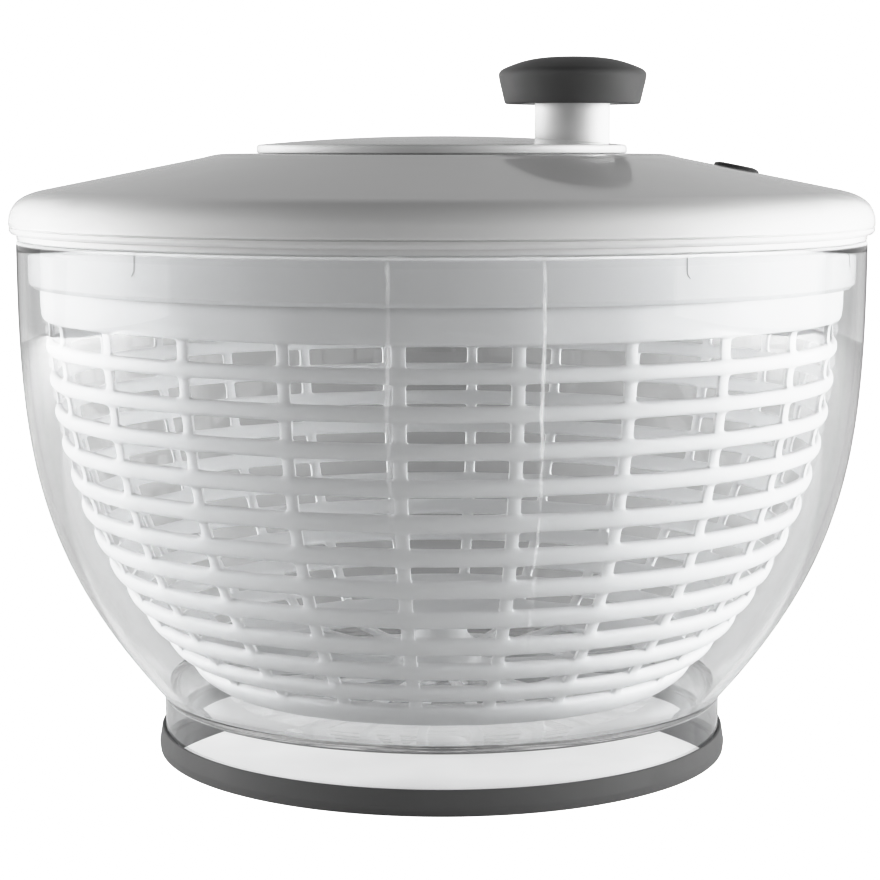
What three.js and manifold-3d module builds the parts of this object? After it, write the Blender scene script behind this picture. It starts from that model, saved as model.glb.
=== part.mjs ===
// Salad spinner: a clear bowl on a non-slip ring, a slotted basket that turns on a pivot,
// and a lid whose crank drives the basket through a gear train, with a push brake.
// Millimetres, +Z up. The origin is the centre of the ring's underside. The crank knob and
// the brake button are on the +X side.
import * as THREE from "three";
import { mergeVertices } from "three/addons/utils/BufferGeometryUtils.js";
import Module from "manifold-3d";

const wasm = await Module();
wasm.setup();

// ---- Driving dimensions ----

const gap = 0.3; // between pieces that touch
const clear = 0.6; // between pieces that move past each other

// Bowl and ring
const rimRadius = 127.8;
const rimHeight = 156.7;
const bowlWall = 2.5;
const footRadius = 85.5;
const footHeight = 18.5;
const footLift = 2; // foot's lower edge above the surface
const floorThickness = 2.6;
const bossRadius = 6;
const bossHeight = 9; // above the bowl's floor
const ringOverhang = 1.9; // ring outside the foot
const ringHeight = 7.6;
const ringWidth = 7;

// Pivot
const pinRadius = 2;
const pinHeight = 4.5; // above the boss
const capRadius = 5;
const capHeight = 6;

// Basket
const basketRimGap = 4.1; // basket's rim inside the bowl's mouth
const basketDrop = 4.2; // basket's rim below the bowl's rim
const basketBandHeight = 17.7;
const basketBandStep = 0.7;
const basketFloorInset = 12.7; // basket's floor inside the foot
const basketLift = 2.2; // basket's floor above the bowl's floor
const basketWall = 2.4;
const basketFloorThickness = 2.4;
const ribCount = 24;
const ribWidth = 3.8;
const ribPhase = 9.6; // degrees from the front
const slotRows = 12;
const basketBottomBand = 3.5; // solid wall under the lowest slots
const slotTall = 5.9; // top row
const slotShort = 3.7; // bottom row
const hubWall = 2.4;
const floorRingWidth = 4;
const floorSpokeWidth = 3;
const floorEdgeWidth = 6; // solid floor outside the openings
const slotInset = 0.4; // top slots below the wall's upper end
const catchCount = 6;
const catchWidth = 2.6;
const catchDepth = 3.4;
const catchHeight = 12;

// Lid
const lidOverhang = 2.2;
const lidSeat = 0.3; // lid's flange above the bowl's rim
const lidRise = 25; // lid's flat top above its seat
const lidWall = 2.2;
const lidFlatWidth = 9.5; // flat ring outside the crank disc
const lidSlope = 0.2;
const lidShoulder = 9; // rounding at the lid's edge
const lidBeadHeight = 2.1;
const lidStepHeight = 1.6;
const skirtDepth = 13.5;
const skirtGap = 0.8;
const skirtWall = 2.2;
const rimRibCount = 10;
const rimRibWidth = 2;
const rimRibHeight = 7;
const rimRibPhase = -5; // degrees from the front

// Gears
const gearModule = 1.8;
const sunTeeth = 15;
const idlerTeeth = 15;
const ringTeeth = 45;
const idlerCount = 3;
const pressureAngle = Math.PI / 9;
const addendum = 0.8; // of the module
const dedendum = 1; // of the module
const backlash = 0.36;
const gearFace = 6.8;
const ringGearWall = 6;
const ringFlange = 4.6;
const ringFlangeHeight = 2.2;
const idlerPinRadius = 3;
const pinHeadRadius = 4.6;
const pinHeadHeight = 1;
const idlerBossWall = 3;

// Gear plate and shaft
const gearDrop = 2.8; // gears' top below the lid's flat top
const plateThickness = 2.4;
const plateGap = 3.8; // plate's top below the gears
const bearingDrop = 3; // bearing tube below the plate
const bushingWall = 1.9;
const bearingWall = 2.5;
const plateFlangeRise = 4; // plate's screw flange above its floor
const blindFloor = 0.8; // floor under the idler pins
const shaftRadius = 6;
const plateScrewCount = 4;
const bossWidth = 4.2;

// Crank
const crankOverlap = 7.7; // disc outside its gear
const crankEdge = 2.3;
const crankCrown = 2.6;
const crankSkin = 2.8;
const crankLift = 0.4; // disc above the lid
const ringGearProud = 0.4; // ring gear above the other gears
const crankScrewCount = 3;
const postRadius = 11.35;
const postReach = 39.5; // post's axis from the crank's axis
const postHeight = 18; // above the lid's flat top
const webHeight = 2.5;
const webDrop = 7; // web below the post's top
const stemRadius = 4.3;
const neckRadius = 2.7;

// Knob
const knobRadius = 22.3;
const knobFoot = 20.4;
const knobLow = 14.9; // knob's lower edge above the lid's flat top
const knobTall = 14.2;
const knobCrownRadius = 14.4;
const knobShell = 4; // knob's side wall
const knobSkin = 5.6;

// Driver plate
const driverThickness = 2;
const driverSeat = 0.5; // above the basket's rim
const driverHubRadius = 13;
const driverRingDepth = 7;
const driverRingWall = 2;

// Brake
const buttonRadius = 6.95;
const buttonInset = 20.5; // button's axis outside the gear plate
const buttonProud = 1.2;
const buttonTravel = 4;
const buttonWall = 1.3;
const buttonDepth = 8;
const guideWall = 1.9;
const guideFloor = 2;
const springRadius = 4.1;
const springWire = 0.5;
const springTurns = 5;
const brakeStem = 2.5;
const padRadius = 5;
const padHeight = 2.7;
const padFloor = 1;
const clipHeight = 0.7;
const clipLift = 1.6; // clip above the pad
const clipRim = 2.6; // clip's rim outside the stem
const stemGroove = 0.4; // groove for the clip in the stem
const buttonRoof = 1.6;

// Screws
const screwRadius = 1.3;
const screwHead = 2.6;
const screwHeadHeight = 1.8;
const crankScrewSkin = 1.2; // disc left over the crank screws' ends
const washerHeight = 1.2; // washer under the driver plate
const knobWasherHeight = 0.8;
const knobWasherRadius = 4.9;

// Roundness, in sides
const wideSides = 40;
const basketSides = ribCount;
const knobSides = 24;
const smallSides = 14;
const tinySides = 8;

// ---- Levels and radii that follow ----

// Distance from the axis to the middle of a flat side.
function flatOf(radius, sides = wideSides) {
  return radius * Math.cos(Math.PI / sides);
}

const innerRim = rimRadius - bowlWall;
const bowlFloor = footHeight + bowlWall - gap;
const bossTop = bowlFloor + bossHeight;
const bossBase = bossRadius + 2;
const bossBore = bossBase + 2 * clear;
const ringRadius = footRadius + ringOverhang;
const basketFloor = bowlFloor + basketLift;
const basketFloorRadius = footRadius - basketFloorInset;
const basketTop = rimHeight - basketDrop;
const basketRadius = innerRim - basketRimGap;
const basketBore = basketRadius - basketWall;
const basketFlat = flatOf(basketBore, basketSides);
const bandBottom = basketTop - basketBandHeight;
const seat = rimHeight + lidSeat;
const lidTop = seat + lidRise;
const lidRadius = rimRadius + lidOverhang;
const skirtRadius = innerRim - skirtGap;
const sunPitch = (gearModule * sunTeeth) / 2;
const idlerPitch = (gearModule * idlerTeeth) / 2;
const ringPitch = (gearModule * ringTeeth) / 2;
const idlerOrbit = sunPitch + idlerPitch;
const ringGearRoot = ringPitch + dedendum * gearModule;
const ringGearRadius = ringGearRoot + ringGearWall;
const ringFlangeRadius = ringGearRadius + ringFlange;
const crankRadius = ringGearRadius + crankOverlap;
const lidFlatRadius = crankRadius + lidFlatWidth;
const lidHole = ringGearRadius + clear;
const gearTop = lidTop - gearDrop;
const gearBottom = gearTop - gearFace;
const plateTop = gearBottom - plateGap;
const plateBottom = plateTop - plateThickness;
const plateWallRadius = ringFlangeRadius + 3 * clear;
const plateScrewCircle = plateWallRadius + 2 * plateThickness + bossWidth;
const plateRadius = plateScrewCircle + bossWidth + 1;
const flangeTop = plateTop + plateFlangeRise;
const bushingRadius = shaftRadius + gap + bushingWall;
const bearingRadius = bushingRadius + gap + bearingWall;
const bearingBottom = plateBottom - bearingDrop;
const driverBottom = basketTop + driverSeat;
const driverTop = driverBottom + driverThickness;
const crankUnder = lidTop + crankLift;
const crankRim = crankUnder + crankEdge;
const crankBossBottom = gearTop + ringGearProud + gap;
const crankInside = crankRim + crankCrown / 2 - crankSkin;
const crankScrewCircle = ringGearRoot + ringGearWall / 2;
const postTop = lidTop + postHeight;
const webTop = postTop - webDrop;
const webBottom = webTop - webHeight;
const knobBottom = lidTop + knobLow;
const knobTop = knobBottom + knobTall;
const buttonReach = plateRadius + buttonInset;

// ---- Helpers ----

// A geometry as a solid that can be joined and cut.
function solid(geometry) {
  const bare = geometry.clone();
  bare.deleteAttribute("normal");
  bare.deleteAttribute("uv");
  const merged = mergeVertices(bare, 1e-4);
  return new wasm.Manifold(
    new wasm.Mesh({
      numProp: 3,
      vertProperties: merged.attributes.position.array,
      triVerts: new Uint32Array(merged.index.array),
    }),
  );
}

// A solid as a geometry again.
function geometryOf(made) {
  const mesh = made.getMesh();
  const geometry = new THREE.BufferGeometry();
  geometry.setAttribute("position", new THREE.BufferAttribute(mesh.vertProperties, 3));
  geometry.setIndex(new THREE.BufferAttribute(mesh.triVerts, 1));
  return geometry;
}

const join = (...parts) => parts.reduce((whole, part) => whole.add(part));
const cut = (body, ...tools) => tools.reduce((rest, tool) => rest.subtract(tool), body);

// An outline in (radius, height) turned about the Z axis. It starts and ends on the axis,
// or closes on itself.
function turned(path, sides = wideSides, steps = 3) {
  const points = path.getPoints(steps);
  const onAxis = points[0].x === 0 && points.at(-1).x === 0;
  if (!onAxis) points.push(points[0].clone());
  if (THREE.ShapeUtils.isClockWise(points)) points.reverse();
  return new THREE.LatheGeometry(points, sides).rotateX(Math.PI / 2);
}

// A path through corner points.
function through(corners) {
  const path = new THREE.Path();
  corners.forEach(([r, z], i) => (i ? path.lineTo(r, z) : path.moveTo(r, z)));
  return path;
}

const tube = (inner, outer, low, high, sides) =>
  turned(through([[inner, low], [outer, low], [outer, high], [inner, high]]), sides);

const rod = (radius, low, high, sides) =>
  turned(through([[0, low], [radius, low], [radius, high], [0, high]]), sides);

// A block with its middle at (x, y) and its underside at low.
const block = (wide, deep, low, high, x = 0, y = 0) =>
  new THREE.BoxGeometry(wide, deep, high - low).translate(x, y, (low + high) / 2);

// Angle of copy i of n about +Z, with phase in degrees from the front, which is -Y.
const aroundFront = (i, n, phase = 0) => ((phase - 90) * Math.PI) / 180 + (i * 2 * Math.PI) / n;

// The place of copy i of n on a circle.
function onCircle(radius, i, n, start = 0) {
  const angle = start + (i * 2 * Math.PI) / n;
  return [radius * Math.cos(angle), radius * Math.sin(angle)];
}

// A pan-head screw that points up, with its driven face at low.
function screw(low, high) {
  const seatZ = low + screwHeadHeight;
  const corner = screwHeadHeight / 3;
  return turned(
    through([
      [0, low],
      [screwHead - corner, low],
      [screwHead, low + corner],
      [screwHead, seatZ],
      [screwRadius, seatZ],
      [screwRadius, high],
      [0, high],
    ]),
    tinySides,
  );
}

// A bulging curve between two points, whose handles are shares of the way across and up.
function bulge([r0, z0], [r1, z1], low, high) {
  const at = ([across, up]) => new THREE.Vector2(r0 + across * (r1 - r0), z0 + up * (z1 - z0));
  return new THREE.CubicBezierCurve(
    new THREE.Vector2(r0, z0),
    at(low),
    at(high),
    new THREE.Vector2(r1, z1),
  );
}

// Points of a curve, moved sideways: a positive distance goes inwards and up.
function besideCurve(curve, distance, steps) {
  return Array.from({ length: steps + 1 }, (_, i) => {
    const point = curve.getPoint(i / steps);
    const along = curve.getTangent(i / steps);
    return [point.x - along.y * distance, point.y + along.x * distance];
  });
}

// Outline of a gear with involute flanks. widen makes each tooth wider at the pitch circle.
function gearOutline(teeth, tip, root, widen) {
  const pitch = (gearModule * teeth) / 2;
  const base = pitch * Math.cos(pressureAngle);
  const involute = (a) => Math.tan(a) - a;
  const halfTooth = Math.PI / (2 * teeth) + widen / (2 * pitch);
  const half = (r) =>
    halfTooth + involute(pressureAngle) - involute(Math.acos(Math.min(1, base / r)));
  const radii = [root, pitch, tip];
  const points = [];
  for (let tooth = 0; tooth < teeth; tooth++) {
    const middle = (tooth * 2 * Math.PI) / teeth;
    const flank = (r, side) => {
      const angle = middle + side * half(r);
      points.push(new THREE.Vector2(r * Math.cos(angle), r * Math.sin(angle)));
    };
    radii.forEach((r) => flank(r, -1));
    radii.toReversed().forEach((r) => flank(r, 1));
  }
  return points;
}

function extruded(points, low, high) {
  const shape = new THREE.Shape(points);
  return new THREE.ExtrudeGeometry(shape, { depth: high - low, bevelEnabled: false }).translate(
    0,
    0,
    low,
  );
}

// A wedge between two neighbouring ribs, whose sides are parallel to the ribs.
function wedge(inner, outer, low, high, count, width, angle) {
  const half = Math.PI / count;
  const corner = (r, side) =>
    new THREE.Vector2(
      r * Math.cos(half) + (width / 2) * Math.sin(half),
      side * (r * Math.sin(half) - (width / 2) * Math.cos(half)),
    );
  const corners = [corner(inner, -1), corner(outer, -1), corner(outer, 1), corner(inner, 1)];
  return extruded(corners, low, high).rotateZ(angle);
}

// ---- Bowl, ring and pivot ----

const bowlCurve = bulge([footRadius + 0.5, footHeight], [rimRadius, rimHeight], [0.93, 0.32], [1, 0.56]);

function bowl() {
  const under = bowlFloor - floorThickness;
  const steps = 9;
  const outline = through([
    [0, bossTop],
    [bossRadius, bossTop],
    [bossBase, bowlFloor],
    ...besideCurve(bowlCurve, bowlWall, steps),
    ...besideCurve(bowlCurve, 0, steps).reverse(),
    [footRadius, footHeight - 0.8],
    [footRadius, footLift],
    [footRadius - bowlWall, footLift],
    [footRadius - bowlWall, under],
    [0, under],
  ]);
  const pinHole = rod(pinRadius + gap, bossTop - bossHeight / 2, bossTop + 1, tinySides);
  return geometryOf(cut(solid(turned(outline)), solid(pinHole)));
}

function baseRing() {
  const grooveIn = footRadius - bowlWall - gap;
  const grooveOut = footRadius + gap;
  const inner = ringRadius - ringWidth;
  return turned(
    through([
      [inner, 0],
      [ringRadius, 0],
      [ringRadius, ringHeight / 2],
      [ringRadius - 0.8, ringHeight],
      [grooveOut, ringHeight],
      [grooveOut, footLift - gap],
      [grooveIn, footLift - gap],
      [grooveIn, ringHeight * 0.8],
      [inner + 0.8, ringHeight * 0.8],
      [inner, ringHeight / 2],
    ]),
  );
}

const pivotPin = () => {
  const low = bossTop - bossHeight / 2 + gap;
  const high = bossTop + pinHeight;
  return turned(
    through([[0, low], [pinRadius, low], [pinRadius, high - 1], [0.6, high], [0, high]]),
    tinySides,
  );
};

function pivotCap() {
  const low = bossTop + gap;
  const high = low + capHeight;
  const bore = pinRadius + gap;
  return turned(
    through([
      [0, bossTop + pinHeight + gap],
      [bore, bossTop + pinHeight + gap],
      [bore, low],
      [capRadius, low],
      [capRadius, high - 1.5],
      [capRadius - 1.5, high],
      [0, high],
    ]),
    smallSides,
  );
}

// ---- Basket ----

const basketCurve = bulge(
  [basketFloorRadius, basketFloor],
  [basketRadius - basketBandStep, bandBottom - 1],
  [0.754, 0.271],
  [0.9625, 0.627],
);

// The wall's outline has its corners at the middles of the solid rings.
function basketWallSolid() {
  const steps = 5;
  const hubBore = capRadius + gap;
  const socketTop = bossTop + gap + capHeight + gap;
  const bossBoreTop = bossTop + clear;
  const floorTop = basketFloor + basketFloorThickness;
  const inner = besideCurve(basketCurve, basketWall, steps);
  const outline = through([
    [0, socketTop + hubWall],
    [hubBore + hubWall - 1, socketTop + hubWall],
    [hubBore + hubWall, socketTop],
    [bossBore + hubWall, bossBoreTop],
    [bossBore + hubWall, floorTop],
    [inner[0][0] - 1, floorTop],
    ...inner.slice(1),
    [basketBore, bandBottom + 2],
    [basketBore, basketTop],
    [basketRadius, basketTop],
    [basketRadius, bandBottom],
    ...besideCurve(basketCurve, 0, steps).reverse(),
    [bossBore, basketFloor],
    [bossBore, bossBoreTop],
    [hubBore, bossBoreTop],
    [hubBore, socketTop],
    [0, socketTop],
  ]);
  return solid(turned(outline, basketSides));
}

// The openings of one row lie between the ribs.
function slotRow(row) {
  const length = basketCurve.getLength();
  const tall = slotTall + ((slotShort - slotTall) * row) / (slotRows - 1);
  const pitch = (length - basketBottomBand) / slotRows;
  const middle = length - slotTall / 2 - slotInset - row * pitch;
  const low = basketCurve.getPointAt((middle - tall / 2) / length);
  const high = basketCurve.getPointAt((middle + tall / 2) / length);
  return Array.from({ length: ribCount }, (_, i) =>
    wedge(low.x - 3 * basketWall, high.x + 3, low.y, high.y, ribCount, ribWidth, betweenRibs(i)),
  );
}

// Middle of the opening after rib i. Rib 0 is on +X until the whole basket is turned.
const betweenRibs = (i, count = ribCount) => ((i + 0.5) * 2 * Math.PI) / count;

function floorOpenings() {
  const low = basketFloor - 1;
  const high = basketFloor + basketFloorThickness + 1;
  const outerEdge = basketFloorRadius - floorEdgeWidth;
  const innerEdge = bossBore + hubWall + floorRingWidth;
  const middle = (outerEdge + innerEdge) / 2;
  const bands = [
    [innerEdge, middle - floorRingWidth / 2, ribCount / 2],
    [middle + floorRingWidth / 2, outerEdge, ribCount],
  ];
  return bands.flatMap(([inner, outer, count]) =>
    Array.from({ length: count }, (_, i) =>
      wedge(inner, outer, low, high, count, floorSpokeWidth, betweenRibs(i, count)),
    ),
  );
}

// Ribs inside the rim, which the driver plate's notches take hold of.
function catches() {
  const high = basketTop - 2;
  return Array.from({ length: catchCount }, (_, i) => {
    const reach = basketFlat - catchDepth / 2 + 0.5;
    const rib = block(catchDepth + 1, catchWidth, high - catchHeight, high, reach);
    return solid(rib.rotateZ(betweenRibs(0) + (i * 2 * Math.PI) / catchCount));
  });
}

function basket() {
  const rows = Array.from({ length: slotRows }, (_, row) => slotRow(row)).flat();
  const openings = [...rows, ...floorOpenings()].map(solid);
  const made = geometryOf(join(cut(basketWallSolid(), ...openings), ...catches()));
  return made.rotateZ(aroundFront(0, ribCount, ribPhase));
}

// ---- Lid ----

const coneHeight = (r) => lidTop - 0.4 - (r - lidFlatRadius - 3) * lidSlope;

function lidOutline() {
  const edge = lidRadius - lidShoulder;
  const beadTop = seat + lidStepHeight + lidBeadHeight;
  const beadBottom = seat + lidStepHeight;
  const inside = skirtRadius - skirtWall;
  const path = new THREE.Path();
  path.moveTo(lidHole, gearBottom + ringFlangeHeight + clear);
  path.lineTo(lidHole, lidTop);
  path.lineTo(lidFlatRadius, lidTop);
  path.quadraticCurveTo(lidFlatRadius + 3, lidTop, lidFlatRadius + 7, coneHeight(lidFlatRadius + 7));
  path.lineTo(edge, coneHeight(edge));
  path.bezierCurveTo(
    edge + 0.6 * lidShoulder,
    coneHeight(edge + 0.6 * lidShoulder),
    lidRadius,
    beadTop + 5.5,
    lidRadius,
    beadTop + 0.8,
  );
  path.lineTo(lidRadius, beadTop + 0.3);
  path.lineTo(lidRadius - 0.5, beadTop);
  path.lineTo(lidRadius, beadTop - 0.3);
  path.quadraticCurveTo(lidRadius, beadBottom, rimRadius, beadBottom);
  path.lineTo(rimRadius, seat);
  path.lineTo(skirtRadius, seat);
  path.lineTo(skirtRadius, seat - skirtDepth + 1);
  path.lineTo(skirtRadius - 1, seat - skirtDepth);
  path.lineTo(inside, seat - skirtDepth);
  path.lineTo(inside, seat + 2);
  path.quadraticCurveTo(inside + 1, coneHeight(edge) - lidWall - 2, edge - 2, coneHeight(edge) - lidWall);
  path.lineTo(lidFlatRadius + 4, coneHeight(lidFlatRadius + 4) - lidWall);
  path.lineTo(lidHole + lidWall, lidTop - lidWall);
  path.lineTo(lidHole + lidWall, gearBottom + ringFlangeHeight + clear);
  return path;
}

// Small ribs with pointed ends that centre the skirt in the bowl's mouth.
function rimRibs() {
  const out = flatOf(innerRim) - gap;
  const deep = out - flatOf(skirtRadius) + 1;
  return Array.from({ length: rimRibCount }, (_, i) => {
    const w = rimRibWidth / 2;
    const corners = [
      [-w, seat],
      [-w, seat - rimRibHeight + 1.5],
      [0, seat - rimRibHeight],
      [w, seat - rimRibHeight + 1.5],
      [w, seat],
    ];
    const points = corners.map(([y, z]) => new THREE.Vector2(y, z));
    const rib = extruded(points, out - deep, out)
      .rotateX(Math.PI / 2)
      .rotateZ(Math.PI / 2);
    return solid(rib.rotateZ(aroundFront(i, rimRibCount, rimRibPhase)));
  });
}

function lidCover() {
  let made = solid(turned(lidOutline()));
  made = join(made, ...rimRibs());
  const underFlat = lidTop - lidWall + 0.5;
  for (let i = 0; i < plateScrewCount; i++) {
    const [x, y] = onCircle(plateScrewCircle, i, plateScrewCount, Math.PI / 4);
    const boss = rod(bossWidth, flangeTop + gap, underFlat, tinySides).translate(x, y, 0);
    const hole = rod(screwRadius + gap, flangeTop - 1, underFlat - 1, tinySides).translate(x, y, 0);
    made = cut(join(made, solid(boss)), solid(hole));
  }
  const guideTop = coneHeight(buttonReach + buttonRadius) - lidWall + 0.5;
  const bore = buttonRadius + gap;
  const guide = rod(bore + guideWall, guideBottom, guideTop, smallSides);
  const well = rod(bore, guideBottom + guideFloor, lidTop, smallSides);
  const stemHole = rod(brakeStem + gap, guideBottom - 1, lidTop, smallSides);
  made = join(made, solid(guide.translate(buttonReach, 0, 0)));
  made = cut(
    made,
    solid(well.translate(buttonReach, 0, 0)),
    solid(stemHole.translate(buttonReach, 0, 0)),
  );
  return geometryOf(made);
}

// ---- Gears and gear plate ----

const addendumOf = addendum * gearModule;
const dedendumOf = dedendum * gearModule;

function idlerGear() {
  const outline = gearOutline(
    idlerTeeth,
    idlerPitch + addendumOf,
    idlerPitch - dedendumOf,
    -backlash,
  );
  const bore = rod(idlerPinRadius + gap, gearBottom - 1, gearTop + 1, smallSides);
  return geometryOf(cut(solid(extruded(outline, gearBottom, gearTop)), solid(bore)));
}

// The pin stands in the gear plate and its head keeps the gear down.
function idlerPin() {
  const neckTop = gearTop + gap;
  return turned(
    through([
      [0, plateBottom + blindFloor + gap],
      [idlerPinRadius, plateBottom + blindFloor + gap],
      [idlerPinRadius, neckTop],
      [pinHeadRadius, neckTop],
      [pinHeadRadius, neckTop + pinHeadHeight],
      [0, neckTop + pinHeadHeight],
    ]),
    smallSides,
  );
}

function ringGear() {
  const hole = gearOutline(
    ringTeeth,
    ringGearRoot,
    ringPitch - addendumOf,
    backlash,
  );
  const high = gearTop + ringGearProud;
  const flangeTopZ = gearBottom + ringFlangeHeight;
  const body = turned(
    through([
      [ringPitch - 4, gearBottom],
      [ringFlangeRadius, gearBottom],
      [ringFlangeRadius, flangeTopZ],
      [ringGearRadius, flangeTopZ],
      [ringGearRadius, high],
      [ringPitch - 4, high],
    ]),
  );
  let made = cut(solid(body), solid(extruded(hole, gearBottom - 1, high + 1)));
  for (let i = 0; i < crankScrewCount; i++) {
    const [x, y] = onCircle(crankScrewCircle, i, crankScrewCount, Math.PI / 3);
    const screwHole = rod(screwRadius + gap, gearBottom - 1, high + 1, tinySides);
    made = cut(made, solid(screwHole.translate(x, y, 0)));
  }
  return geometryOf(made);
}

function gearPlate() {
  const boreRadius = bushingRadius + gap;
  const flangeBottom = flangeTop - plateThickness;
  const rimOut = plateWallRadius + plateThickness;
  const tubeTop = gearBottom - 2 * clear - 1;
  let made = solid(
    turned(
      through([
        [boreRadius, bearingBottom],
        [bearingRadius, bearingBottom],
        [bearingRadius, plateBottom],
        [rimOut, plateBottom],
        [rimOut, flangeBottom],
        [plateRadius, flangeBottom],
        [plateRadius, flangeTop],
        [plateWallRadius, flangeTop],
        [plateWallRadius, plateTop],
        [bearingRadius, plateTop],
        [bearingRadius, tubeTop],
        [boreRadius, tubeTop],
      ]),
    ),
  );
  for (let i = 0; i < plateScrewCount; i++) {
    const [x, y] = onCircle(plateScrewCircle, i, plateScrewCount, Math.PI / 4);
    const hole = rod(screwRadius + gap, flangeBottom - 1, flangeTop + 1, tinySides);
    made = cut(made, solid(hole.translate(x, y, 0)));
  }
  for (let i = 0; i < idlerCount; i++) {
    const [x, y] = onCircle(idlerOrbit, i, idlerCount);
    const boss = rod(idlerPinRadius + idlerBossWall, plateTop - 1, gearBottom - gap, smallSides);
    const hole = rod(idlerPinRadius + gap, plateBottom + blindFloor, gearBottom + 1, smallSides);
    made = join(made, solid(boss.translate(x, y, 0)));
    made = cut(made, solid(hole.translate(x, y, 0)));
  }
  return geometryOf(made);
}

function shaftBushing() {
  const inner = shaftRadius + gap;
  const flangeZ = gearBottom - 2 * clear - 1 + gap;
  return turned(
    through([
      [inner, bearingBottom],
      [bushingRadius, bearingBottom],
      [bushingRadius, flangeZ],
      [bushingRadius + 1.5, flangeZ],
      [bushingRadius + 1.5, flangeZ + 1],
      [inner, flangeZ + 1],
    ]),
    smallSides,
  );
}

// The sun gear and its shaft, which ends in a hexagon that drives the plate below.
const hexRadius = shaftRadius - 0.8;

function sunPinion() {
  const outline = gearOutline(sunTeeth, sunPitch + addendumOf, sunPitch - dedendumOf, -backlash);
  const gear = solid(extruded(outline, gearBottom, gearTop));
  const shaft = solid(rod(shaftRadius, bearingBottom - clear, gearBottom + 1, smallSides));
  const hex = solid(rod(hexRadius, driverBottom + gap, bearingBottom, 6));
  const hole = solid(rod(screwRadius + gap, driverBottom - 1, bearingBottom + 4, tinySides));
  return geometryOf(cut(join(gear, shaft, hex), hole));
}

// ---- Driver plate ----

function driverPlate() {
  const hubTop = bearingBottom - 2 * clear;
  const ringOut = basketFlat - clear;
  const ringIn = ringOut - driverRingWall;
  const ringLow = driverBottom - driverRingDepth;
  const body = solid(
    turned(
      through([
        [0, driverBottom],
        [ringIn, driverBottom],
        [ringIn, ringLow],
        [ringOut, ringLow],
        [ringOut, driverBottom],
        [basketRadius - 0.6, driverBottom],
        [basketRadius - 0.6, driverTop],
        [driverHubRadius + 3, driverTop],
        [driverHubRadius, driverTop + 3],
        [driverHubRadius, hubTop],
        [0, hubTop],
      ]),
    ),
  );
  const hex = solid(rod(hexRadius + gap, driverBottom - 1, hubTop + 1, 6));
  const notches = Array.from({ length: catchCount }, (_, i) => {
    const wide = catchWidth + 2 * clear;
    const notch = block(3 * driverRingWall, wide, ringLow - 1, basketTop - 1, ringOut);
    return solid(notch.rotateZ(betweenRibs(0) + aroundFront(i, catchCount, ribPhase)));
  });
  return geometryOf(cut(body, hex, ...notches));
}

const washerTop = driverBottom - gap;
const driverWasher = () =>
  tube(screwRadius + gap, hexRadius + 2.5, washerTop - washerHeight, washerTop, smallSides);
const driverScrew = () => screw(washerTop - washerHeight - gap - screwHeadHeight, bearingBottom + 3);

// ---- Crank ----

function crankDisc() {
  const bossIn = ringGearRoot + gap;
  const bossOut = ringGearRadius - gap;
  const path = new THREE.Path();
  path.moveTo(0, crankInside);
  path.lineTo(bossIn, crankInside);
  path.lineTo(bossIn, crankBossBottom);
  path.lineTo(bossOut, crankBossBottom);
  path.lineTo(bossOut, crankUnder);
  path.lineTo(crankRadius - 0.5, crankUnder);
  path.lineTo(crankRadius, crankUnder + 0.5);
  path.lineTo(crankRadius, crankRim - 0.5);
  path.lineTo(crankRadius - 0.5, crankRim);
  path.quadraticCurveTo(crankRadius / 2, crankRim + crankCrown, 0, crankRim + crankCrown);
  let made = solid(turned(path));
  const place = (geometry) => solid(geometry.translate(postReach, 0, 0));
  made = join(made, place(rod(postRadius, crankInside + 0.5, postTop, knobSides)));
  made = cut(
    made,
    place(rod(stemRadius + gap, webTop, postTop + 1, smallSides)),
    place(rod(neckRadius + gap, webBottom - 1, webTop + 1, smallSides)),
    place(rod(knobWasherRadius + gap, crankBossBottom - 1, webBottom, smallSides)),
  );
  for (let i = 0; i < crankScrewCount; i++) {
    const [x, y] = onCircle(crankScrewCircle, i, crankScrewCount, Math.PI / 3);
    const hole = rod(screwRadius + gap, crankBossBottom - 1, crankScrewTop + gap, tinySides);
    made = cut(made, solid(hole.translate(x, y, 0)));
  }
  return geometryOf(made);
}

const crankScrewTop = crankRim - crankScrewSkin;

// ---- Knob ----

function knobGrip() {
  const coreRadius = knobFoot - knobShell;
  const path = new THREE.Path();
  path.moveTo(0, knobTop - knobSkin);
  path.lineTo(coreRadius, knobTop - knobSkin);
  path.lineTo(coreRadius, knobBottom);
  path.lineTo(knobFoot, knobBottom);
  path.lineTo(knobRadius, knobBottom + knobTall * 0.5);
  path.quadraticCurveTo(
    knobRadius + 0.2,
    knobBottom + knobTall * 0.66,
    knobRadius - 1.8,
    knobBottom + knobTall * 0.74,
  );
  path.quadraticCurveTo(knobRadius - 4, knobTop - 2.4, knobCrownRadius, knobTop - 0.6);
  path.quadraticCurveTo(knobCrownRadius / 2, knobTop, 0, knobTop);
  return turned(path, knobSides, 3);
}

function knobCore() {
  const outer = knobFoot - knobShell - gap;
  const inner = postRadius + clear;
  const top = knobTop - knobSkin - gap;
  const ceiling = postTop + clear;
  let made = solid(
    turned(
      through([
        [0, webBottom],
        [neckRadius, webBottom],
        [neckRadius, webTop + gap],
        [stemRadius, webTop + gap],
        [stemRadius, ceiling],
        [inner, ceiling],
        [inner, knobBottom + gap],
        [outer, knobBottom + gap],
        [outer, top],
        [0, top],
      ]),
      smallSides,
    ),
  );
  made = cut(made, solid(rod(screwRadius + gap, webBottom - 1, ceiling + 2, tinySides)));
  return geometryOf(made);
}

const knobWasherTop = webBottom - gap;
const knobWasher = () =>
  tube(screwRadius + gap, knobWasherRadius, knobWasherTop - knobWasherHeight, knobWasherTop, smallSides);
const knobScrew = () => screw(knobWasherTop - knobWasherHeight - gap - screwHeadHeight, postTop);

// ---- Brake ----

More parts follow.
